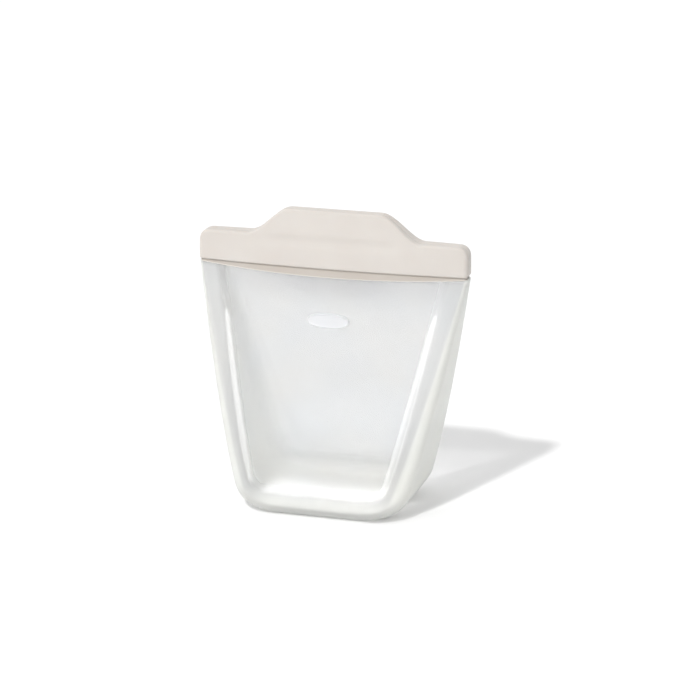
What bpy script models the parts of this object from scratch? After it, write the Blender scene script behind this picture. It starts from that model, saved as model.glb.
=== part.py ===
"""A reusable silicone storage bag that stands up: a see-through pouch with a press-to-close mouth.

Frame: metres. The origin is at the middle of the flat underside, +X runs along the mouth, -Y is the
front with the raised oval, and +Z is up. The bag is modelled closed. Each jaw of the mouth swings
about the foot of its wall, and each jaw's two wings swing on living hinges beside its tab.
"""

import math

import bmesh
import bpy

# Overall sizes
MOUTH_WIDTH = 0.190  # closed end to closed end, along X
BASE_HALF_WIDTH = 0.0537  # where the side line would meet the ground
TOP_HALF_WIDTH = 0.0948
SIDE_CURVE = 0.76  # power of height that the side line follows
BASE_HALF_DEPTH = 0.0470
TOP_HALF_DEPTH = 0.0046
FACE_CURVE = 1.13  # power of height that the front and rear lines follow

# Heights above the underside
FLOOR_TOP = 0.0045
SILL_TOP = 0.0150  # top of the base tray and foot of the walls
POUCH_TOP = 0.1605
COLLAR_BOTTOM = 0.1610
BAND_BOTTOM = 0.1670
BAND_TOP = 0.1878
TAB_TOP = 0.2059

# Pouch
SIDE_ROUND = 0.017  # bottom edge, seen from the front
FACE_ROUND = 0.010  # bottom edge, seen from the side
CORNER_ROUND = 0.009  # upright corners of the base tray
TRAY_WALL = 0.0042
GUSSET_WALL = 0.0032
EDGE_WIDTH = 0.0140  # thick border beside each thin wall
EDGE_THICKNESS = 0.0045
EDGE_ROUND = 0.0040
PANEL_RECESS = 0.0018  # how far the thin walls lie behind their border
PANEL_THICKNESS = 0.0016

# Closure
END_HALF_DEPTH = 0.0064  # half the closure's depth at its closed ends
BULGE = 0.0044  # extra half depth at its middle
BULGE_CURVE = 3.0  # power of height that the bulge follows up the walls
TAB_DEPTH = 0.0048
TAB_HALF_TOP = 0.0330
TAB_HALF_FOOT = 0.0620
COLLAR_RECESS = 0.0011
WING_HINGE = 0.0400  # distance of the wings' living hinges from the middle
WING_END = 0.0880
END_ROUND = 0.0025
TOP_CORNER_ROUND = 0.0066  # outer upper corners, seen from the front

# Press seal
RIB_DEPTH = 0.0026
RIB_HEIGHT = 0.0022
RIB_MIDDLE = 0.1775
GROOVE_DEPTH = 0.0034
GROOVE_HEIGHT = 0.0056
RIB_END = 0.0720  # the ribs stop short of the closed ends
RIB_BREAK = 0.0010  # and on both sides of each living hinge

# Raised oval on the front wall
PATCH_HALF_WIDTH = 0.0146
PATCH_HALF_HEIGHT = 0.0048
PATCH_SQUARENESS = 2.5  # 2 would be an ellipse, and more is nearer a rectangle
PATCH_THICKNESS = 0.0009
PATCH_HEIGHT_ON_WALL = 0.1320

GAP = 0.0003  # between neighbouring pieces
PARTING = 0.0004  # from the mid-plane to each jaw's inner face
HINGE_HEIGHT = SILL_TOP
FRONT, REAR = -1, 1
LEFT, RIGHT = -1, 1


def ease(value):
    """Runs smoothly from 0 to 1 as value does."""
    value = min(1.0, max(0.0, value))
    return value * value * (3.0 - 2.0 * value)


def steps(start, end, count):
    """Evenly spaced values from start to end, both included."""
    return [start + (end - start) * i / (count - 1) for i in range(count)]


def half_width(height):
    """Half the pouch's width at a height, above its rounded bottom edge."""
    rise = (height / BAND_BOTTOM) ** SIDE_CURVE
    return BASE_HALF_WIDTH + (TOP_HALF_WIDTH - BASE_HALF_WIDTH) * rise


def half_depth(height):
    """Half the pouch's depth at its edges, above its rounded bottom edge."""
    rise = (height / BAND_BOTTOM) ** FACE_CURVE
    return BASE_HALF_DEPTH + (TOP_HALF_DEPTH - BASE_HALF_DEPTH) * rise


def wall_face(x, height):
    """Distance from the mid-plane to a thin wall's outer side, which bows as the jaws do at its top."""
    bow = BULGE * (height / BAND_BOTTOM) ** BULGE_CURVE * (1.0 - (x / half_width(height)) ** 2)
    return half_depth(height) - PANEL_RECESS + bow


def edge_inset(height, radius):
    """How far a bottom edge of this radius draws the outline in at a height."""
    if height >= radius:
        return 0.0
    return radius - math.sqrt(radius**2 - (radius - height) ** 2)


def rounded_rectangle(half_x, half_y, radius, height, corner_points=5):
    """The points of a level rectangle with round corners, anticlockwise."""
    points = []
    centres = ((1, 1, 0.0), (-1, 1, 90.0), (-1, -1, 180.0), (1, -1, 270.0))
    for sign_x, sign_y, first_angle in centres:
        for angle in steps(first_angle, first_angle + 90.0, corner_points):
            turn = math.radians(angle)
            x = sign_x * (half_x - radius) + radius * math.cos(turn)
            y = sign_y * (half_y - radius) + radius * math.sin(turn)
            points.append((x, y, height))
    return points


def jaw_face(x, height):
    """Distance from the mid-plane to a jaw's outer face, which leans back as it rises to the tab."""
    band = END_HALF_DEPTH + BULGE * (1.0 - (2.0 * x / MOUTH_WIDTH) ** 2)
    return band + (TAB_DEPTH - band) * (height - BAND_BOTTOM) / (TAB_TOP - BAND_BOTTOM)


def tab_outline(x):
    """Height of a jaw's upper edge: level over the tab, an S-curve down to the band."""
    fall = ease((abs(x) - TAB_HALF_TOP) / (TAB_HALF_FOOT - TAB_HALF_TOP))
    return TAB_TOP + (BAND_TOP - TAB_TOP) * fall


def hinge_distance():
    """Distance of a jaw's hinge line from the mid-plane: the middle of its wall's foot."""
    return half_depth(HINGE_HEIGHT) - PANEL_RECESS - PANEL_THICKNESS / 2


def material(name, colour, roughness, transmission=0.0):
    made = bpy.data.materials.new(name)
    made.use_nodes = True
    shader = made.node_tree.nodes["Principled BSDF"]
    shader.inputs["Base Color"].default_value = (*colour, 1.0)
    shader.inputs["Roughness"].default_value = roughness
    shader.inputs["Metallic"].default_value = 0.0
    shader.inputs["Transmission Weight"].default_value = transmission
    return made


def pivot(name, location, parent=None):
    """An empty on a joint's axis, which the pieces of that body hang from."""
    empty = bpy.data.objects.new(name, None)
    empty.empty_display_size = 0.01
    bpy.context.collection.objects.link(empty)
    empty.parent = parent
    offset = parent["place"] if parent else (0.0, 0.0, 0.0)
    empty.location = [a - b for a, b in zip(location, offset)]
    empty["place"] = location
    return empty


def solid(name, rings, look, body=None):
    """One closed solid lofted through rings of points, with flat caps at both ends."""
    place = body["place"] if body else (0.0, 0.0, 0.0)
    shape = bmesh.new()
    loops = []
    for ring in rings:
        loops.append([shape.verts.new([p - o for p, o in zip(point, place)]) for point in ring])
    for lower, upper in zip(loops, loops[1:]):
        for i in range(len(lower)):
            j = (i + 1) % len(lower)
            shape.faces.new((lower[i], lower[j], upper[j], upper[i]))
    shape.faces.new(list(reversed(loops[0])))
    shape.faces.new(loops[-1])
    bmesh.ops.recalc_face_normals(shape, faces=shape.faces)
    mesh = bpy.data.meshes.new(name)
    shape.to_mesh(mesh)
    shape.free()
    mesh.shade_smooth()
    mesh.set_sharp_from_angle(angle=math.radians(35))
    mesh.materials.append(look)
    piece = bpy.data.objects.new(name, mesh)
    bpy.context.collection.objects.link(piece)
    piece.parent = body
    return piece


def base_tray(look):
    """The thick floor with its upturned rim: up the outside, over the rim, down the inside."""
    rings = []
    for share in steps(0.0, 1.0, 7):
        height = SILL_TOP * share**1.6
        half_x = half_width(height) - edge_inset(height, SIDE_ROUND)
        half_y = half_depth(height) - edge_inset(height, FACE_ROUND)
        rings.append(rounded_rectangle(half_x, half_y, CORNER_ROUND, height))
    inner_round = CORNER_ROUND - TRAY_WALL / 2
    for share in steps(1.0, 0.0, 4):
        height = FLOOR_TOP + (SILL_TOP - FLOOR_TOP) * share
        draw_in = edge_inset(height - FLOOR_TOP, SILL_TOP - FLOOR_TOP)
        half_x = half_width(height) - TRAY_WALL - draw_in
        half_y = half_depth(height) - TRAY_WALL - draw_in * 0.6
        rings.append(rounded_rectangle(half_x, half_y, inner_round, height))
    solid("base", rings, look)


def pouch_heights():
    return steps(SILL_TOP + GAP, POUCH_TOP, 9)


def gusset(name, side, look):
    """One side wall, between the front and rear edges."""
    rings = []
    for height in pouch_heights():
        outer = half_width(height)
        inner = outer - GUSSET_WALL
        reach = half_depth(height) - EDGE_THICKNESS - GAP
        corners = ((inner, -reach), (outer, -reach), (outer, reach), (inner, reach))
        rings.append([(side * x, y, height) for x, y in corners])
    solid(name, rings, look)


def edge(name, face, side, look):
    """One thick upright edge: a flat bar whose outer corner is rounded."""
    rings = []
    for height in pouch_heights():
        outer_x = half_width(height)
        outer_y = half_depth(height)
        inner_x = outer_x - EDGE_WIDTH
        inner_y = outer_y - EDGE_THICKNESS
        ring = [(inner_x, outer_y), (inner_x, inner_y), (outer_x, inner_y)]
        for angle in steps(0.0, 90.0, 4):
            turn = math.radians(angle)
            x = outer_x - EDGE_ROUND + EDGE_ROUND * math.cos(turn)
            y = outer_y - EDGE_ROUND + EDGE_ROUND * math.sin(turn)
            ring.append((x, y))
        rings.append([(side * x, face * y, height) for x, y in ring])
    solid(name, rings, look)


def wall(name, face, look, body):
    """A thin wall panel between two edges, standing on the base tray's rim."""
    rings = []
    for height in pouch_heights():
        reach = half_width(height) - EDGE_WIDTH - GAP
        across = steps(-reach, reach, 9)
        ring = [(x, wall_face(x, height)) for x in across]
        ring += [(x, wall_face(x, height) - PANEL_THICKNESS) for x in reversed(across)]
        rings.append([(x, face * y, height) for x, y in ring])
    solid(name, rings, look, body)


def collar(name, face, start, end, look, body=None):
    """The recessed strip that joins a jaw to the pouch."""
    rings = []
    for x in steps(start, end, 6):
        outer = jaw_face(x, BAND_BOTTOM) - COLLAR_RECESS
        top = BAND_BOTTOM - GAP
        corners = ((PARTING, COLLAR_BOTTOM), (outer, COLLAR_BOTTOM), (outer, top), (PARTING, top))
        rings.append([(x, face * y, z) for y, z in corners])
    solid(name, rings, look, body)


def groove_notch():
    """The inner face of a rear jaw, from top to bottom, with the groove that takes the rib."""
    floor = PARTING + GROOVE_DEPTH
    upper = RIB_MIDDLE + GROOVE_HEIGHT / 2
    lower = RIB_MIDDLE - GROOVE_HEIGHT / 2
    return [(PARTING, upper), (floor, upper), (floor, lower), (PARTING, lower)]


def jaw(name, face, start, end, top, look, body):
    """A length of jaw. top(x) gives the height of its upper edge."""
    rings = []
    for x in steps(start, end, 9):
        ring = [(PARTING, BAND_BOTTOM)]
        for height in steps(BAND_BOTTOM, top(x), 8):
            ring.append((jaw_face(x, height), height))
        ring.append((PARTING, top(x)))
        if face == REAR:
            ring += groove_notch()
        rings.append([(x, face * y, z) for y, z in ring])
    solid(name, rings, look, body)


def tab(name, face, look, body):
    """The stiff middle of a pull tab, above the band."""
    foot = BAND_TOP + GAP
    rings = []
    for x in steps(-WING_HINGE, WING_HINGE, 17):
        top = tab_outline(x)
        ring = [(PARTING, foot), (jaw_face(x, foot), foot), (jaw_face(x, top), top), (PARTING, top)]
        rings.append([(x, face * y, z) for y, z in ring])
    solid(name, rings, look, body)


def rib(name, start, end, look, body):
    """The press seal's rib: it stands from a front jaw into the rear jaw's groove."""
    near = GAP - PARTING
    far = near + RIB_DEPTH
    half = RIB_HEIGHT / 2
    ring = [
        (near, RIB_MIDDLE - half),
        (far - half, RIB_MIDDLE - half),
        (far, RIB_MIDDLE),
        (far - half, RIB_MIDDLE + half),
        (near, RIB_MIDDLE + half),
    ]
    rings = [[(x, y, z) for y, z in ring] for x in steps(start, end, 2)]
    solid(name, rings, look, body)


def end_web(name, side, look):
    """A closed end of the mouth, where the front and rear jaws are one."""
    end = MOUTH_WIDTH / 2
    stations = [WING_END + GAP]
    for angle in steps(0.0, 90.0, 7):
        stations.append(end + TOP_CORNER_ROUND * (math.sin(math.radians(angle)) - 1.0))
    rings = []
    for x in stations:
        inset = edge_inset(end - x, END_ROUND)
        deep = END_HALF_DEPTH - inset
        low = COLLAR_BOTTOM + inset
        high = BAND_TOP - edge_inset(end - x, TOP_CORNER_ROUND)
        ring = ((-deep, low), (deep, low), (deep, high), (-deep, high))
        rings.append([(side * x, y, z) for y, z in ring])
    solid(name, rings, look)


def patch(name, look, body):
    """A blank raised oval, lying on the front wall."""
    low, high = PATCH_HEIGHT_ON_WALL - PATCH_HALF_HEIGHT, PATCH_HEIGHT_ON_WALL + PATCH_HALF_HEIGHT
    slope = math.atan2(wall_face(0.0, low) - wall_face(0.0, high), high - low)
    power = 2.0 / PATCH_SQUARENESS
    rings = []
    for lift in (GAP, GAP + PATCH_THICKNESS):
        ring = []
        for i in range(28):
            across, up = math.cos(math.tau * i / 28), math.sin(math.tau * i / 28)
            x = math.copysign(abs(across) ** power, across) * PATCH_HALF_WIDTH
            along = math.copysign(abs(up) ** power, up) * PATCH_HALF_HEIGHT
            height = PATCH_HEIGHT_ON_WALL + along * math.cos(slope) + lift * math.sin(slope)
            outward = wall_face(0.0, PATCH_HEIGHT_ON_WALL)
            outward += lift * math.cos(slope) - along * math.sin(slope)
            ring.append((x, -outward, height))
        rings.append(ring)
    solid(name, rings, look, body)


def build_jaw(face_name, face, looks):
    """Everything that swings with one tab: its wall, collar, band, tab and two wings."""
    silicone, beige = looks
    hinge = pivot(f"{face_name}_jaw", (0.0, face * hinge_distance(), HINGE_HEIGHT))
    middle = WING_HINGE
    wall(f"{face_name}_wall", face, silicone, hinge)
    collar(f"{face_name}_collar", face, -middle, middle, beige, hinge)
    jaw(f"{face_name}_jaw_band", face, -middle, middle, lambda x: BAND_TOP, beige, hinge)
    tab(f"{face_name}_tab", face, beige, hinge)
    if face == FRONT:
        rib(f"{face_name}_rib", RIB_BREAK - middle, middle - RIB_BREAK, beige, hinge)
        patch(f"{face_name}_patch", silicone, hinge)
    for side_name, side in (("left", LEFT), ("right", RIGHT)):
        name = f"{face_name}_{side_name}"
        fold = pivot(f"{name}_wing_fold", (side * middle, face * PARTING, RIB_MIDDLE), hinge)
        start, end = side * (middle + GAP), side * WING_END
        collar(f"{name}_collar", face, start, end, beige, fold)
        jaw(f"{name}_wing", face, start, end, tab_outline, beige, fold)
        if face == FRONT:
            rib(f"{name}_rib", side * (middle + RIB_BREAK), side * RIB_END, beige, fold)


def main():
    for old in list(bpy.data.objects):
        bpy.data.objects.remove(old, do_unlink=True)
    silicone = material("frosted_silicone", (0.86, 0.88, 0.87), 0.35, transmission=0.8)
    beige = material("beige_silicone", (0.80, 0.74, 0.69), 0.45)
    base_tray(silicone)
    for side_name, side in (("left", LEFT), ("right", RIGHT)):
        gusset(f"{side_name}_gusset", side, silicone)
        end_web(f"{side_name}_end_web", side, beige)
        for face_name, face in (("front", FRONT), ("rear", REAR)):
            edge(f"{face_name}_{side_name}_edge", face, side, silicone)
    for face_name, face in (("front", FRONT), ("rear", REAR)):
        build_jaw(face_name, face, (silicone, beige))


main()
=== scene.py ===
"""Looks of a stand-up silicone storage bag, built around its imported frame.

Every piece is a swept grid of points. The pouch is two half shells, front and rear, that meet at
the middle of the gussets and of the floor. The mouth is two jaws, each with its recessed collar.
All of them bend by one rule: a point follows its jaw near the pull tab, and stays with the pouch
at the closed ends, along the gussets and at the base, and turns smoothly between them. The raised
oval lies where the front wall follows its jaw whole, so it rides on the front jaw.
"""

import math

import bpy
import numpy as np
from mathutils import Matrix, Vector


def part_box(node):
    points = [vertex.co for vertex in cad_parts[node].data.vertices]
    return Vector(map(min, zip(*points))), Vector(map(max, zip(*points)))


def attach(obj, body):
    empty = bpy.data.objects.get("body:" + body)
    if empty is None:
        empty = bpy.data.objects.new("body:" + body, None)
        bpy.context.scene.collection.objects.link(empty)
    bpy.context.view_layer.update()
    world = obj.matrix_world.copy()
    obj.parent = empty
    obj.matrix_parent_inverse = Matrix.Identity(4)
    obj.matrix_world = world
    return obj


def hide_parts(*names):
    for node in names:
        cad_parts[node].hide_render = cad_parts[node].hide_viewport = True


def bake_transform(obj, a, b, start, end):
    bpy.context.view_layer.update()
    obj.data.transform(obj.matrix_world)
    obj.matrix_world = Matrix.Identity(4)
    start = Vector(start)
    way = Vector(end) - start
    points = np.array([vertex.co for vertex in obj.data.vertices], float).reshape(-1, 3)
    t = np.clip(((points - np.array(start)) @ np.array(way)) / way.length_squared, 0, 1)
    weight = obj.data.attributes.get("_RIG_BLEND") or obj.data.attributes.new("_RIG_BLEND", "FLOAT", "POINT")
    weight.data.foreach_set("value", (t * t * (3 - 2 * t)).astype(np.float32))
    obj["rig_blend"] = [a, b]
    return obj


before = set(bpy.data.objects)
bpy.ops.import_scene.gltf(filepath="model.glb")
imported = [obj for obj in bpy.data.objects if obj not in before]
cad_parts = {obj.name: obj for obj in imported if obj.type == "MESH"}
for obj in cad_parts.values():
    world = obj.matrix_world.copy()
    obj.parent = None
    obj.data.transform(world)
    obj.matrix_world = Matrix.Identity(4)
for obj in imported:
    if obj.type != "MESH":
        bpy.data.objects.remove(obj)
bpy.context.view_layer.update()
FRONT, REAR = -1, 1
MM = 0.001

# Places and sizes from the frame
MOUTH_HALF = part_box("right_end_web")[1].x
BAND_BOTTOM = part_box("front_jaw_band")[0].z
BAND_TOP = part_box("front_jaw_band")[1].z
TAB_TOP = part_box("front_tab")[1].z
COLLAR_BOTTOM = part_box("front_collar")[0].z
END_HALF_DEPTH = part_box("right_end_web")[1].y
MIDDLE_HALF_DEPTH = -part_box("front_jaw_band")[0].y
SILL_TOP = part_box("base")[1].z
RIB_LOW, RIB_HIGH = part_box("front_rib")
PATCH_LOW, PATCH_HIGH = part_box("front_patch")

# The pouch's outer shape: powers of height that its side and face lines follow
BASE_HALF_WIDTH, TOP_HALF_WIDTH, SIDE_CURVE = 56.2 * MM, 95.7 * MM, 0.79
BASE_HALF_DEPTH, TOP_HALF_DEPTH, FACE_CURVE = 47.0 * MM, 4.6 * MM, 1.13
SIDE_ROUND, FACE_ROUND = 17.0 * MM, 9.5 * MM  # bottom edge, seen from the front and the side
CORNER_AT_BASE, CORNER_AT_TOP = 17.0 * MM, 3.6 * MM  # rounding of the upright corners
BULGE_CURVE = 3.0  # power of height that the faces' bulge follows, up to the jaws' own
POUCH_TOP = BAND_BOTTOM - 1.5 * MM
GUSSET_CROWN = 0.7 * MM
NEAR_CORNER = 22.0 * MM  # stretch of a face beside each corner that has its points close together

# How a jaw's share of a point's motion falls away from its tab
END_MARGIN = 1.5 * MM  # from a closed end, held by the pouch
BEND_SHARE = 0.64  # of the distance from a closed end to the middle, over which it rises to 1
BEND_FOOT = 0.85 * SILL_TOP
BEND_HEIGHT = 45.0 * MM

# Walls
EDGE_THICKNESS = 4.5 * MM
GUSSET_THICKNESS = 3.4 * MM
WINDOW_THICKNESS = 1.6 * MM
FLOOR_RINGS = (0.75, 0.93, 0.98)  # sizes of the level rings inside the floor's edge
WALL_SHARE_AT_TOP = 0.55  # of the walls' thickness, where they end inside the mouth
TAPER_START = 135.0 * MM  # height where the walls begin to thin
THICK_FOOT = 25.0 * MM  # the gussets grow as thick as the edges below this height
WINDOW_RECESS = 2.3 * MM
RECESS_SHARE_AT_TOP = 0.35  # of the recess, where it runs out under the mouth
RECESS_FADE_START, RECESS_FADE = 128.0 * MM, 34.0 * MM
WINDOW_BORDER = 11.8 * MM
WINDOW_BORDER_AT_TOP = 10.8 * MM
BORDER_TURN_START, BORDER_TURN = 130.0 * MM, 35.0 * MM  # heights between those two widths
WINDOW_SILL = 12.0 * MM
WINDOW_CORNER = 15.0 * MM
WINDOW_FILLET = 8.8 * MM
SIDE_FACING = 0.25  # sideways part of the normal where a face begins to turn into a gusset
SIDE_FACING_TURN = 0.30

# Raised oval: the size of each ring from its foot to its middle, and how far it stands out in mm
OVAL_FOOT = ((1.0, -0.6), (1.0, 0.4))
OVAL_RIM = ((0.98, 0.68), (0.93, 0.86), (0.87, 0.90), (0.80, 0.82))
OVAL_FIELD = ((0.74, 0.62), (0.68, 0.55), (0.3, 0.58))
OVAL_SQUARENESS = 2.5  # 2 would be an ellipse, and more is nearer a rectangle

# Closure
TAB_MIDDLE = 1.3 * MM  # the tabs sit a little right of the middle
TAB_HALF_TOP, TAB_HALF_FOOT = 31.5 * MM, 62.0 * MM
PARTING = 0.22 * MM  # half the fine gap between the jaws
TAB_DEPTH = 4.8 * MM
TOP_CORNER, BOTTOM_CORNER, END_CORNER = 7.5 * MM, 1.5 * MM, 2.5 * MM
FACE_LEAN = 1.5  # power of height that a jaw's face follows as it leans back
GROOVE_DEPTH, GROOVE_HEIGHT, GROOVE_HALF = 1.15 * MM, 185.0 * MM, 3.2 * MM  # shallow, below the tab
COLLAR_PROUD = 0.35 * MM  # the collar's lower edge stands out from the pouch
COLLAR_RECESS = 2.0 * MM  # its upper edge lies behind the band
COLLAR_THICKNESS = 2.6 * MM
COLLAR_HALF = MOUTH_HALF - 0.8 * MM
COLLAR_EDGE_ROUND = 0.4 * MM
COLLAR_END_BOTTOM = BAND_BOTTOM - 1.8 * MM  # its lower edge is an arch up to this height
COLLAR_FOOT_POINTS = 6  # how many of its outline's points make its rounded foot, painted paler as a highlight
SEAL_GROOVE_HALF, SEAL_GROOVE_DEPTH = 2.8 * MM, 3.2 * MM


def ease(value):
    """Runs smoothly from 0 to 1 as value does."""
    value = np.clip(value, 0.0, 1.0)
    return value * value * (3.0 - 2.0 * value)


def mix(start, end, share):
    return start + (end - start) * share


def round_inset(distance, radius):
    """How far a round of this radius draws an outline in, at a distance from its outermost line."""
    near = np.clip(distance, 0.0, radius)
    return radius - np.sqrt(np.maximum(radius**2 - (radius - near) ** 2, 0.0))


def half_width(z):
    return BASE_HALF_WIDTH + (TOP_HALF_WIDTH - BASE_HALF_WIDTH) * (z / BAND_BOTTOM) ** SIDE_CURVE


def corner_depth(z):
    """Half the pouch's depth where its faces meet its rounded corners."""
    return BASE_HALF_DEPTH + (TOP_HALF_DEPTH - BASE_HALF_DEPTH) * (z / BAND_BOTTOM) ** FACE_CURVE


def corner_round(z):
    """Radius of the pouch's upright corners."""
    return mix(CORNER_AT_BASE, CORNER_AT_TOP, z / BAND_BOTTOM)


def jaw_share(x, z):
    """How far a point follows its jaw: 1 round the pull tab, 0 at the ends, gussets and base."""
    reach = half_width(np.minimum(z, BAND_BOTTOM)) - END_MARGIN
    across = ease((reach - np.abs(x)) / (BEND_SHARE * reach))
    return across * ease((z - BEND_FOOT) / BEND_HEIGHT)


# ---------------------------------------------------------------- meshes


def add_object(name, points, faces, material, smooth_angle=None):
    """A mesh in the scene. Its edges that turn by more than smooth_angle degrees stay sharp."""
    mesh = bpy.data.meshes.new(name)
    mesh.from_pydata([tuple(p) for p in points], [], [tuple(f) for f in faces])
    mesh.validate()
    mesh.shade_smooth()
    if smooth_angle:
        mesh.set_sharp_from_angle(angle=math.radians(smooth_angle))
    mesh.materials.append(material)
    made = bpy.data.objects.new(name, mesh)
    bpy.context.scene.collection.objects.link(made)
    return made


def grid_faces(rows, columns, first=0, flip=False, closed=False):
    """Quads of a grid whose points are numbered row by row. closed joins the last column to the first."""
    faces = []
    for r in range(rows - 1):
        for c in range(columns if closed else columns - 1):
            a = first + r * columns + c
            b = first + r * columns + (c + 1) % columns
            quad = (a, b, b + columns, a + columns)
            faces.append(quad[::-1] if flip else quad)
    return faces


def bend(piece, jaw):
    """Lets a piece bend between the pouch and a jaw.

    Its weights are then replaced by jaw_share, which falls to 0 on both sides of the tab, so that
    the mouth bows open between its closed ends.
    """
    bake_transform(piece, "pouch", jaw, start=(0, 0, SILL_TOP), end=(0, 0, BAND_BOTTOM))
    mesh = piece.data
    points = np.empty(len(mesh.vertices) * 3, np.float32)
    mesh.vertices.foreach_get("co", points)
    points = points.reshape(-1, 3).astype(float)
    share = jaw_share(points[:, 0], np.maximum(points[:, 2], 0.0))
    mesh.attributes["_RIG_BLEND"].data.foreach_set("value", share.astype(np.float32))
    mesh.update()


# ---------------------------------------------------------------- pouch


def window_share(x, z):
    """1 inside the thin window of a face, 0 on its thick border, easing over the fillet between."""
    border = mix(WINDOW_BORDER, WINDOW_BORDER_AT_TOP, ease((z - BORDER_TURN_START) / BORDER_TURN))
    side = half_width(z) - border - np.abs(x)
    sill = z - WINDOW_SILL
    corner = WINDOW_CORNER - np.hypot(WINDOW_CORNER - side, WINDOW_CORNER - sill)
    inside = np.where((side < WINDOW_CORNER) & (sill < WINDOW_CORNER), corner, np.minimum(side, sill))
    return ease(inside / WINDOW_FILLET)


def recess(z):
    """How far the window lies behind its border at a height. It runs out under the mouth."""
    return WINDOW_RECESS * mix(1.0, RECESS_SHARE_AT_TOP, ease((z - RECESS_FADE_START) / RECESS_FADE))


def pouch_rows():
    """Heights of the rows: along the rounded bottom edge, then close together up to the window."""
    turns = np.linspace(0, math.pi / 2, 15)
    low = SIDE_ROUND * (1 - np.cos(turns))
    sill_end = 34 * MM
    sill = np.arange(SIDE_ROUND + 1 * MM, sill_end, 1 * MM)
    rest = np.linspace(sill_end, POUCH_TOP, 52)
    return np.concatenate([low, sill, rest])


def face_crown(z):
    """How far a face bulges in the middle. It ends as bowed as the jaws."""
    return (MIDDLE_HALF_DEPTH - END_HALF_DEPTH) * (z / BAND_BOTTOM) ** BULGE_CURVE


def section(z):
    """Half a level section of the pouch, from the middle of the right gusset to the face's middle."""
    inset_x = round_inset(z, SIDE_ROUND)
    inset_y = round_inset(z, FACE_ROUND)
    wide = half_width(z) - inset_x
    deep = corner_depth(z) - inset_y
    corner = corner_round(z)
    y = np.linspace(0, deep - corner, 10)
    x = wide - GUSSET_CROWN * (y / BASE_HALF_DEPTH) ** 2
    turns = np.linspace(0, math.pi / 2, 11)[1:]
    x = np.append(x, x[-1] - corner * (1 - np.cos(turns)))
    y = np.append(y, deep - corner * (1 - np.sin(turns)))
    edge = x[-1]
    near = np.linspace(edge, edge - NEAR_CORNER, 30)[1:]
    far = np.linspace(near[-1], 0, 15)[1:]
    across = np.concatenate([near, far])
    y = np.append(y, deep + face_crown(z) * (1 - (across / edge) ** 2))
    x = np.append(x, across)
    return np.column_stack([x, y, np.full(len(x), z)])


def point_attribute(made, name, values):
    """Gives each point of a mesh a number that its material reads."""
    attribute = made.data.attributes.new(name, "FLOAT", "POINT")
    attribute.data.foreach_set("value", np.asarray(values).reshape(-1).astype(np.float32))


def pouch_half(name, face, material):
    """Half of the pouch: outer skin, inner skin, the rim that joins them, underside and floor."""
    skin = []
    for z in pouch_rows():
        right = section(z)
        left = right[-2::-1] * (-1, 1, 1)
        skin.append(np.concatenate([right, left]))
    skin = np.array(skin) * (1, face, 1)
    along_row = np.gradient(skin, axis=1)
    up = np.gradient(skin, axis=0)
    normal = np.cross(along_row, up) * face
    normal[0] = (0, 0, -1)
    normal[:, (0, -1), 1] = 0.0
    normal /= np.linalg.norm(normal, axis=2, keepdims=True)
    x, z = skin[:, :, 0], skin[:, :, 2]
    facing = 1 - ease((np.abs(normal[:, :, 0]) - SIDE_FACING) / SIDE_FACING_TURN)
    window = window_share(x, z) * facing
    thick = mix(GUSSET_THICKNESS, EDGE_THICKNESS, np.maximum(facing, ease(1 - z / THICK_FOOT)))
    taper = ease((z - TAPER_START) / (POUCH_TOP - TAPER_START))
    thick = mix(thick, WALL_SHARE_AT_TOP * thick, taper)
    thick = mix(thick, np.minimum(thick, recess(z) + WINDOW_THICKNESS), window)
    outer = skin - normal * (recess(z) * window)[:, :, None]
    inner = skin - normal * thick[:, :, None]
    floor_rings = [inner[0] * (share, share, 1) for share in FLOOR_RINGS]
    inner = np.concatenate([floor_rings, inner])
    rows, columns = x.shape
    inner_rows = len(inner)
    count = rows * columns
    points = np.concatenate([outer.reshape(-1, 3), inner.reshape(-1, 3)])
    outward = face == REAR
    faces = grid_faces(rows, columns, flip=not outward)
    faces += grid_faces(inner_rows, columns, count, flip=outward)
    for c in range(columns - 1):
        a = (rows - 1) * columns + c
        b = count + (inner_rows - 1) * columns + c
        quad = (a, a + 1, b + 1, b)
        faces.append(quad if outward else quad[::-1])
    underside = list(range(columns))
    floor_middle = list(range(count, count + columns))
    faces.append(underside[::-1] if outward else underside)
    faces.append(floor_middle if outward else floor_middle[::-1])
    made = add_object(name, points, faces, material)
    none = np.zeros((len(FLOOR_RINGS), columns))
    for title, share in (("clearness", window), ("gusset", 1 - facing), ("shade", mouth_shade(x, z))):
        point_attribute(made, title, np.concatenate([share, none, share]))
    white = floor_painted_light_share(points)
    white[:count] = 0.0
    point_attribute(made, "painted_floor_light", white)
    return made


def mouth_shade(x, z):
    """How deep a point of the window lies in the soft shade under the bowed middle of the mouth."""
    return ease((z - 138 * MM) / (22 * MM)) * (1 - 0.7 * ease((np.abs(x) - 15 * MM) / (45 * MM)))


def floor_painted_light_share(points):
    """Painted sunlight on the floor's upper side: 1 there, fading up its rounded edge and to the rear."""
    level = ease((8 * MM - points[:, 2]) / (3 * MM))
    return level * (1 - ease((points[:, 1] - 5 * MM) / (22 * MM)))


# ---------------------------------------------------------------- closure


def jaw_face(x, z):
    """Distance from the mid-plane to a jaw's outer face, which leans back and has a shallow groove."""
    band = END_HALF_DEPTH + (MIDDLE_HALF_DEPTH - END_HALF_DEPTH) * (1 - (x / MOUTH_HALF) ** 2)
    lean = np.clip((z - BAND_BOTTOM) / (TAB_TOP - BAND_BOTTOM), 0.0, 1.0) ** FACE_LEAN
    groove = GROOVE_DEPTH * np.exp(-(((z - GROOVE_HEIGHT) / GROOVE_HALF) ** 2))
    groove = groove * ease((TAB_HALF_FOOT - 4 * MM - np.abs(x)) / (24 * MM))
    return mix(band, TAB_DEPTH, lean) - groove


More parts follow.
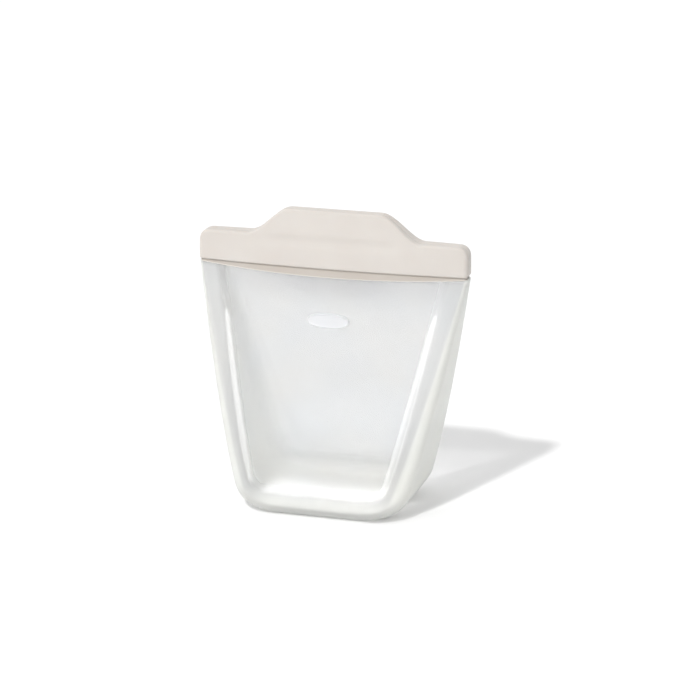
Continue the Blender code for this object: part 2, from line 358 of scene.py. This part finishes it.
def tab_outline(x):
    """Height of a jaw's upper edge: level over the tab, an S-curve down to the band."""
    fall = ease((np.abs(x - TAB_MIDDLE) - TAB_HALF_TOP) / (TAB_HALF_FOOT - TAB_HALF_TOP))
    return mix(TAB_TOP, BAND_TOP, fall)


def mouth_stations(count=150):
    """Places along the mouth, close together at its rounded ends."""
    turns = np.linspace(0, math.pi / 2, 12)
    end = MOUTH_HALF - TOP_CORNER * (1 - np.sin(turns))
    middle = np.linspace(-end[0], end[0], count)
    return np.concatenate([-end[:0:-1], middle, end[1:]])


def closure_ring(x, face):
    """The closed outline of a jaw at a place along the mouth."""
    from_end = MOUTH_HALF - abs(x)
    bottom = BAND_BOTTOM + round_inset(from_end, BOTTOM_CORNER)
    top = tab_outline(x) - round_inset(from_end, TOP_CORNER)
    slim = round_inset(from_end, END_CORNER)
    gap = PARTING * ease((from_end - 5 * MM) / (8 * MM))
    foot_round, top_round = 1.1 * MM, 1.9 * MM
    ring = []
    for turn in np.linspace(0, math.pi / 2, 5):
        z = bottom + foot_round * (1 - math.cos(turn))
        deep = jaw_face(x, z) - slim - foot_round * (1 - math.sin(turn))
        ring.append((deep, z))
    for z in np.linspace(bottom + foot_round, top - top_round, 30)[1:-1]:
        ring.append((jaw_face(x, z) - slim, z))
    for turn in np.linspace(0, math.pi / 2, 7):
        z = top - top_round * (1 - math.sin(turn))
        deep = jaw_face(x, top - top_round) - slim - top_round * (1 - math.cos(turn))
        ring.append((max(deep, gap + 0.1 * MM), z))
    inner_round = 0.7 * MM
    for turn in np.linspace(0, math.pi / 2, 4):
        ring.append((gap + inner_round * (1 - math.sin(turn)), top - inner_round * (1 - math.cos(turn))))
    ring += seal_profile(gap, face, from_end)
    ring.append((gap, bottom))
    return [(x, face * y, z) for y, z in ring]


def seal_profile(gap, face, from_end):
    """The inner face of a jaw on its way down: a rib on the front jaw, a groove in the rear jaw."""
    middle = (RIB_LOW.z + RIB_HIGH.z) / 2
    fade = float(ease((from_end - 18 * MM) / (6 * MM)))
    if face == FRONT:
        half, deep = (RIB_HIGH.z - RIB_LOW.z) / 2, -(RIB_HIGH.y - PARTING) * fade
    else:
        half, deep = SEAL_GROOVE_HALF, SEAL_GROOVE_DEPTH * fade
    offsets = (1.35, 1.0, 0.8, 0.4, 0.0, -0.4, -0.8, -1.0, -1.35)
    depths = (0.0, 0.15, 0.75, 1.0, 1.0, 1.0, 0.75, 0.15, 0.0)
    return [(gap + deep * d, middle + half * o) for o, d in zip(offsets, depths)]


def swept(name, rings, material, smooth_angle=40):
    """A closed solid through a row of closed rings, with flat ends."""
    rings = np.array(rings)
    rows, columns = rings.shape[:2]
    points = rings.reshape(-1, 3)
    faces = grid_faces(rows, columns, closed=True)
    faces.append(tuple(range(columns))[::-1])
    faces.append(tuple(range((rows - 1) * columns, rows * columns)))
    made = add_object(name, points, faces, material, smooth_angle)
    face_outward(made)
    return made


def face_outward(made):
    """Turns a closed mesh's faces outward, judged by its signed volume."""
    mesh = made.data
    mesh.calc_loop_triangles()
    corners = np.array([[mesh.vertices[v].co for v in t.vertices] for t in mesh.loop_triangles])
    volume = np.einsum("ij,ij->i", corners[:, 0], np.cross(corners[:, 1], corners[:, 2])).sum()
    if volume < 0:
        mesh.flip_normals()


def closure(name, face, material):
    """A jaw of the mouth with its tab, in one piece."""
    return swept(name, [closure_ring(x, face) for x in mouth_stations()], material)


def collar_ring(x, face):
    """Outline of the recessed strip under a jaw. Its lower edge is an arch that meets the band's ends."""
    slim = round_inset(COLLAR_HALF - abs(x), END_CORNER)
    top = BAND_BOTTOM + 0.4 * MM
    low = mix(COLLAR_BOTTOM, COLLAR_END_BOTTOM, (x / MOUTH_HALF) ** 2)
    bow = face_crown(low) * (1 - (x / half_width(low)) ** 2)
    foot = corner_depth(low) + bow + COLLAR_PROUD
    head = jaw_face(x, BAND_BOTTOM) - COLLAR_RECESS
    edge = COLLAR_EDGE_ROUND

    def outer(z):
        return mix(foot, head, (z - low) / (top - low)) - slim

    inner = max(min(foot, head) - COLLAR_THICKNESS, 0.0)
    ring = [(inner, low), (outer(low) - edge, low)]
    for turn in np.linspace(0, math.pi / 2, 5)[1:]:
        z = low + edge * (1 - math.cos(turn))
        ring.append((outer(z) - edge * (1 - math.sin(turn)), z))
    for z in (low + edge + 0.3 * MM, *np.linspace(low + edge, top, 6)[1:]):
        ring.append((outer(z), z))
    ring.append((inner, top))
    return [(x, face * y, z) for y, z in ring]


def collar(name, face, material):
    """The recessed strip under a jaw, its rounded foot marked for a paler colour painting a highlight."""
    turns = np.linspace(0, math.pi / 2, 8)
    end = COLLAR_HALF - END_CORNER * (1 - np.sin(turns))
    stations = np.concatenate([-end[:0:-1], np.linspace(-end[0], end[0], 110), end[1:]])
    made = swept(name, [collar_ring(x, face) for x in stations], material)
    pale = np.zeros((len(stations), len(collar_ring(0.0, face))))
    pale[:, :COLLAR_FOOT_POINTS] = 1.0
    point_attribute(made, "foot", pale)
    return made


def patch(name, material):
    """The blank raised oval on the front wall: a rim round a slightly lower field."""
    centre = (PATCH_LOW + PATCH_HIGH) / 2
    half_x = (PATCH_HIGH.x - PATCH_LOW.x) / 2
    half_z = (PATCH_HIGH.z - PATCH_LOW.z) / 2
    turns = np.linspace(0, math.tau, 73)[:-1]
    power = 2 / OVAL_SQUARENESS
    across = np.sign(np.cos(turns)) * np.abs(np.cos(turns)) ** power
    upward = np.sign(np.sin(turns)) * np.abs(np.sin(turns)) ** power
    rings = []
    for size, lift in OVAL_FOOT + OVAL_RIM + OVAL_FIELD:
        x = across * half_x * (1 - (1 - size) * half_z / half_x)
        z = centre.z + upward * half_z * size
        y = [-wall_depth(px, pz) - lift * MM for px, pz in zip(x, z)]
        rings.append(np.column_stack([x, y, z]))
    return swept(name, rings, material, 60)


def wall_depth(x, z):
    """Distance from the mid-plane to the outer side of a thin wall."""
    edge = half_width(z) - corner_round(z)
    return corner_depth(z) + face_crown(z) * (1 - (x / edge) ** 2) - recess(z)


# ---------------------------------------------------------------- materials


def new_material(name):
    made = bpy.data.materials.new(name)
    made.use_nodes = True
    return made, made.node_tree, made.node_tree.nodes["Principled BSDF"]


def noise(tree, scale, detail=3.0):
    place = tree.nodes.new("ShaderNodeTexCoord")
    texture = tree.nodes.new("ShaderNodeTexNoise")
    texture.inputs["Scale"].default_value = scale
    texture.inputs["Detail"].default_value = detail
    tree.links.new(place.outputs["Object"], texture.inputs["Vector"])
    return texture.outputs["Fac"]


def spread(tree, source, low, high, low_in=0.0, high_in=1.0):
    """Maps a value to a range."""
    node = tree.nodes.new("ShaderNodeMapRange")
    node.inputs["From Min"].default_value = low_in
    node.inputs["From Max"].default_value = high_in
    node.inputs["To Min"].default_value = low
    node.inputs["To Max"].default_value = high
    tree.links.new(source, node.inputs["Value"])
    return node.outputs["Result"]


def colours(tree, source, low, high, low_in=0.35, high_in=0.65):
    """A colour between two, by a value."""
    ramp = tree.nodes.new("ShaderNodeValToRGB")
    ramp.color_ramp.elements[0].position = low_in
    ramp.color_ramp.elements[0].color = (*low, 1)
    ramp.color_ramp.elements[1].position = high_in
    ramp.color_ramp.elements[1].color = (*high, 1)
    tree.links.new(source, ramp.inputs["Fac"])
    return ramp.outputs["Color"]


def point_value(tree, name):
    node = tree.nodes.new("ShaderNodeAttribute")
    node.attribute_name = name
    return node.outputs["Fac"]


def height(tree):
    """Height above the underside."""
    place = tree.nodes.new("ShaderNodeTexCoord")
    split = tree.nodes.new("ShaderNodeSeparateXYZ")
    tree.links.new(place.outputs["Object"], split.inputs["Vector"])
    return split.outputs["Z"]


def blended(tree, share, first, second):
    """A mix of two numbers, or of two colours, either of which may be fixed."""
    node = tree.nodes.new("ShaderNodeMix")
    is_colour = any(getattr(item, "type", "") == "RGBA" for item in (first, second))
    node.data_type = "RGBA" if is_colour else "FLOAT"
    kind = "RGBA" if is_colour else "VALUE"
    slots = [item for item in node.inputs if item.type == kind and item.name in "AB"]
    tree.links.new(share, node.inputs["Factor"])
    for slot, item in zip(slots, (first, second)):
        if isinstance(item, (int, float)):
            slot.default_value = item
        else:
            tree.links.new(item, slot)
    return next(item for item in node.outputs if item.type == kind)


def fine_bump(tree, shader, relief, strength, distance):
    node = tree.nodes.new("ShaderNodeBump")
    node.inputs["Strength"].default_value = strength
    node.inputs["Distance"].default_value = distance
    tree.links.new(relief, node.inputs["Height"])
    tree.links.new(node.outputs["Normal"], shader.inputs["Normal"])


def let_lamps_through(tree, shader, share):
    """Lets a share of each lamp's light straight through a surface, which softens its shadow."""
    path = tree.nodes.new("ShaderNodeLightPath")
    passing = tree.nodes.new("ShaderNodeMath")
    passing.operation = "MULTIPLY"
    tree.links.new(path.outputs["Is Shadow Ray"], passing.inputs[0])
    if isinstance(share, float):
        passing.inputs[1].default_value = share
    else:
        tree.links.new(share, passing.inputs[1])
    through = tree.nodes.new("ShaderNodeBsdfTransparent")
    either = tree.nodes.new("ShaderNodeMixShader")
    tree.links.new(passing.outputs["Value"], either.inputs["Fac"])
    tree.links.new(shader.outputs["BSDF"], either.inputs[1])
    tree.links.new(through.outputs["BSDF"], either.inputs[2])
    tree.links.new(either.outputs["Shader"], tree.nodes["Material Output"].inputs["Surface"])


def frosted_silicone(name, lamp_share):
    """Frosted see-through silicone: milky where it is thick, clearer and polished in the thin windows.

    The mesh marks its windows, its gussets, the pool of sunlight painted on the floor's upper side
    and the soft shade painted under the mouth. lamp_share says how much of a lamp's light each surface
    lets straight through, in the border and in the window.
    """
    made, tree, shader = new_material(name)
    clear, side = point_value(tree, "clearness"), point_value(tree, "gusset")
    cloud = noise(tree, 22.0)
    # painted shade: the front border is tinted darker towards its foot
    upper = colours(tree, cloud, (0.72, 0.73, 0.735), (0.745, 0.745, 0.74))
    lower = colours(tree, cloud, (0.63, 0.635, 0.635), (0.65, 0.65, 0.64))
    front = blended(tree, spread(tree, height(tree), 0.0, 1.0, 40 * MM, 120 * MM), lower, upper)
    # painted light: the gussets are tinted much paler than the front border, for light shining through them
    # from inside
    gusset = colours(tree, cloud, (0.925, 0.935, 0.905), (0.945, 0.945, 0.91))
    border = blended(tree, side, front, gusset)
    outer_base = colours(tree, cloud, (0.82, 0.825, 0.80), (0.84, 0.84, 0.815))
    # painted light: near-white and not see-through where sunlight through the window falls on the floor's
    # upper side
    painted_lit_floor = colours(tree, cloud, (0.96, 0.965, 0.96), (0.98, 0.98, 0.975))
    painted_floor_light = point_value(tree, "painted_floor_light")
    base = blended(tree, painted_floor_light, outer_base, painted_lit_floor)
    milky = blended(tree, spread(tree, height(tree), 1.0, 0.0, 8 * MM, 18 * MM), border, base)
    window = colours(tree, cloud, (0.85, 0.863, 0.877), (0.877, 0.873, 0.863))
    shaded = colours(tree, cloud, (0.74, 0.745, 0.755), (0.76, 0.76, 0.76))
    thin = blended(tree, point_value(tree, "shade"), window, shaded)
    tree.links.new(blended(tree, clear, milky, thin), shader.inputs["Base Color"])
    body = blended(tree, painted_floor_light, 0.5, 0.0)
    tree.links.new(blended(tree, clear, body, 0.80), shader.inputs["Transmission Weight"])
    tree.links.new(spread(tree, clear, 0.38, 0.27), shader.inputs["Roughness"])
    opening = spread(tree, clear, 0.0, 1.0, 0.0, 0.4)
    cover = blended(tree, opening, 0.97, spread(tree, height(tree), 0.5, 0.76, 20 * MM, 80 * MM))
    tree.links.new(cover, shader.inputs["Alpha"])
    tree.links.new(spread(tree, clear, 0.0, 1.0, 0.05, 0.35), shader.inputs["Coat Weight"])
    shader.inputs["Coat Roughness"].default_value = 0.10
    shader.inputs["Coat IOR"].default_value = 1.8
    shader.inputs["IOR"].default_value = 1.41
    fine_bump(tree, shader, noise(tree, 260.0, 3.0), 0.06, 0.0004)
    let_lamps_through(tree, shader, spread(tree, clear, *lamp_share))
    return made


def beige_silicone(name, dark, light, foot=None):
    """Satin silicone, opaque, fine moulded skin; a paler foot painted as a highlight where the mesh marks
    one.
    """
    made, tree, shader = new_material(name)
    cloud = noise(tree, 30.0)
    tint = colours(tree, cloud, dark, light)
    if foot:
        tint = blended(tree, point_value(tree, "foot"), tint, colours(tree, cloud, *foot))
    tree.links.new(tint, shader.inputs["Base Color"])
    tree.links.new(spread(tree, noise(tree, 90.0), 0.42, 0.55), shader.inputs["Roughness"])
    shader.inputs["IOR"].default_value = 1.41
    shader.inputs["Subsurface Weight"].default_value = 0.15
    shader.inputs["Subsurface Radius"].default_value = (1.0, 0.75, 0.6)
    shader.inputs["Subsurface Scale"].default_value = 0.002
    fine_bump(tree, shader, noise(tree, 900.0, 4.0), 0.15, 0.0002)
    return made


def patch_silicone():
    """The polished raised oval."""
    made, tree, shader = new_material("patch_silicone")
    tint = colours(tree, noise(tree, 60.0), (0.735, 0.745, 0.765), (0.765, 0.765, 0.775))
    tree.links.new(tint, shader.inputs["Base Color"])
    tree.links.new(spread(tree, noise(tree, 120.0), 0.16, 0.24), shader.inputs["Roughness"])
    shader.inputs["IOR"].default_value = 1.41
    shader.inputs["Transmission Weight"].default_value = 0.25
    let_lamps_through(tree, shader, 0.7)
    return made


def pale_floor():
    """The matt near-white ground."""
    made, _, shader = new_material("pale_floor")
    shader.inputs["Base Color"].default_value = (0.9, 0.9, 0.9, 1)
    shader.inputs["Roughness"].default_value = 0.7
    shader.inputs["Specular IOR Level"].default_value = 0.0
    return made


# ---------------------------------------------------------------- stage


def direction(azimuth, elevation):
    """Unit vector to a place: azimuth 0 is in front of the bag, and 90 is on its right."""
    a, e = math.radians(azimuth), math.radians(elevation)
    return np.array([math.sin(a) * math.cos(e), -math.cos(a) * math.cos(e), math.sin(e)])


def look_along(item, forward):
    """Turns a lamp or a camera so that it looks along a direction."""
    item.rotation_euler = Vector(forward).to_track_quat("-Z", "Y").to_euler()


def camera(azimuth=16.55, elevation=16.6, distance=2.05, target=(0.00916, 0.0, 0.11035), lens=155.4):
    data = bpy.data.cameras.new("camera")
    data.lens = lens
    data.sensor_width = 36.0
    made = bpy.data.objects.new("camera", data)
    bpy.context.scene.collection.objects.link(made)
    made.location = np.array(target) + direction(azimuth, elevation) * distance
    look_along(made, -direction(azimuth, elevation))
    bpy.context.scene.camera = made


def sun(azimuth, elevation, strength, angle):
    data = bpy.data.lights.new("key", "SUN")
    data.energy = strength
    data.angle = math.radians(angle)
    made = bpy.data.objects.new("key", data)
    made.visible_glossy = False
    bpy.context.scene.collection.objects.link(made)
    look_along(made, -direction(azimuth, elevation))


def soft_box(name, azimuth, elevation, distance, size, power, aim=(0, 0, 0.1)):
    data = bpy.data.lights.new(name, "AREA")
    data.shape = "RECTANGLE"
    data.size, data.size_y = size
    data.energy = power
    made = bpy.data.objects.new(name, data)
    bpy.context.scene.collection.objects.link(made)
    made.location = np.array(aim) + direction(azimuth, elevation) * distance
    look_along(made, -direction(azimuth, elevation))


def sky(dim, bright, towards):
    """A soft surround that is brighter on one side."""
    world = bpy.data.worlds.new("sky")
    bpy.context.scene.world = world
    world.use_nodes = True
    tree = world.node_tree
    place = tree.nodes.new("ShaderNodeTexCoord")
    dot = tree.nodes.new("ShaderNodeVectorMath")
    dot.operation = "DOT_PRODUCT"
    dot.inputs[1].default_value = towards
    tree.links.new(place.outputs["Generated"], dot.inputs[0])
    fully_dim, fully_bright = -0.75, 1.0
    level = spread(tree, dot.outputs["Value"], dim, bright, fully_dim, fully_bright)
    level.node.interpolation_type = "SMOOTHSTEP"
    tree.links.new(level, tree.nodes["Background"].inputs["Strength"])
    tree.nodes["Background"].inputs["Color"].default_value = (1.0, 1.0, 1.0, 1)


def floor():
    """The ground under the bag."""
    size = 30.0
    corners = [(-size, -size, 0), (size, -size, 0), (size, size, 0), (-size, size, 0)]
    made = add_object("floor", corners, [(0, 1, 2, 3)], pale_floor())


# ---------------------------------------------------------------- the object

clear_walls = {
    "front": frosted_silicone("frosted_silicone_front", (0.45, 0.97)),
    "rear": frosted_silicone("frosted_silicone_rear", (0.15, 0.3)),
}
beige = beige_silicone("beige_silicone", (0.585, 0.545, 0.508), (0.605, 0.570, 0.534))
# painted shade: the collar strip is a darker beige than the band, for the shade it lies in under the band
collar_painted_shade = beige_silicone(
    "beige_silicone_collar_painted_shade",
    dark=(0.475, 0.43, 0.387),
    light=(0.495, 0.455, 0.415),
    # painted highlight: the collar's rounded foot is paler
    foot=((0.66, 0.63, 0.59), (0.69, 0.66, 0.62)),
)
polished = patch_silicone()

for face_name, face in (("front", FRONT), ("rear", REAR)):
    jaw_body = f"{face_name}_jaw"
    sides = [f"{face_name}_left", f"{face_name}_right"]

    shell = pouch_half(f"{face_name}_pouch_half", face, clear_walls[face_name])
    bend(shell, jaw_body)
    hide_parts(f"{face_name}_wall", *[f"{s}_edge" for s in sides])

    mouth = closure(f"{face_name}_closure", face, beige)
    bend(mouth, jaw_body)
    wings = [f"{s}_wing" for s in sides]
    ribs = [f"{s}_rib" for s in sides] + ["front_rib"] if face == FRONT else []
    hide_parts(f"{face_name}_jaw_band", f"{face_name}_tab", *wings, *ribs)

    strip = collar(f"{face_name}_collar_strip", face, collar_painted_shade)
    bend(strip, jaw_body)
    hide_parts(f"{face_name}_collar", *[f"{s}_collar" for s in sides])

    if face == FRONT:
        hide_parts("base", "left_gusset", "right_gusset")
        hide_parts("left_end_web", "right_end_web")
        oval = patch("raised_oval", polished)
        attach(oval, jaw_body)
        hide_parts("front_patch")

floor()
camera()
sun(azimuth=-10.5, elevation=49, strength=1.75, angle=3.5)
soft_box("left_fillet_light", azimuth=20, elevation=19, distance=1.3, size=(0.30, 0.34), power=1.4)
soft_box("right_fillet_light", azimuth=-46, elevation=14, distance=1.3, size=(0.30, 0.40), power=1.6)
sky(dim=0.05, bright=0.93, towards=(-0.38, 0.36, 0.85))
bpy.context.scene.view_settings.view_transform = "Standard"
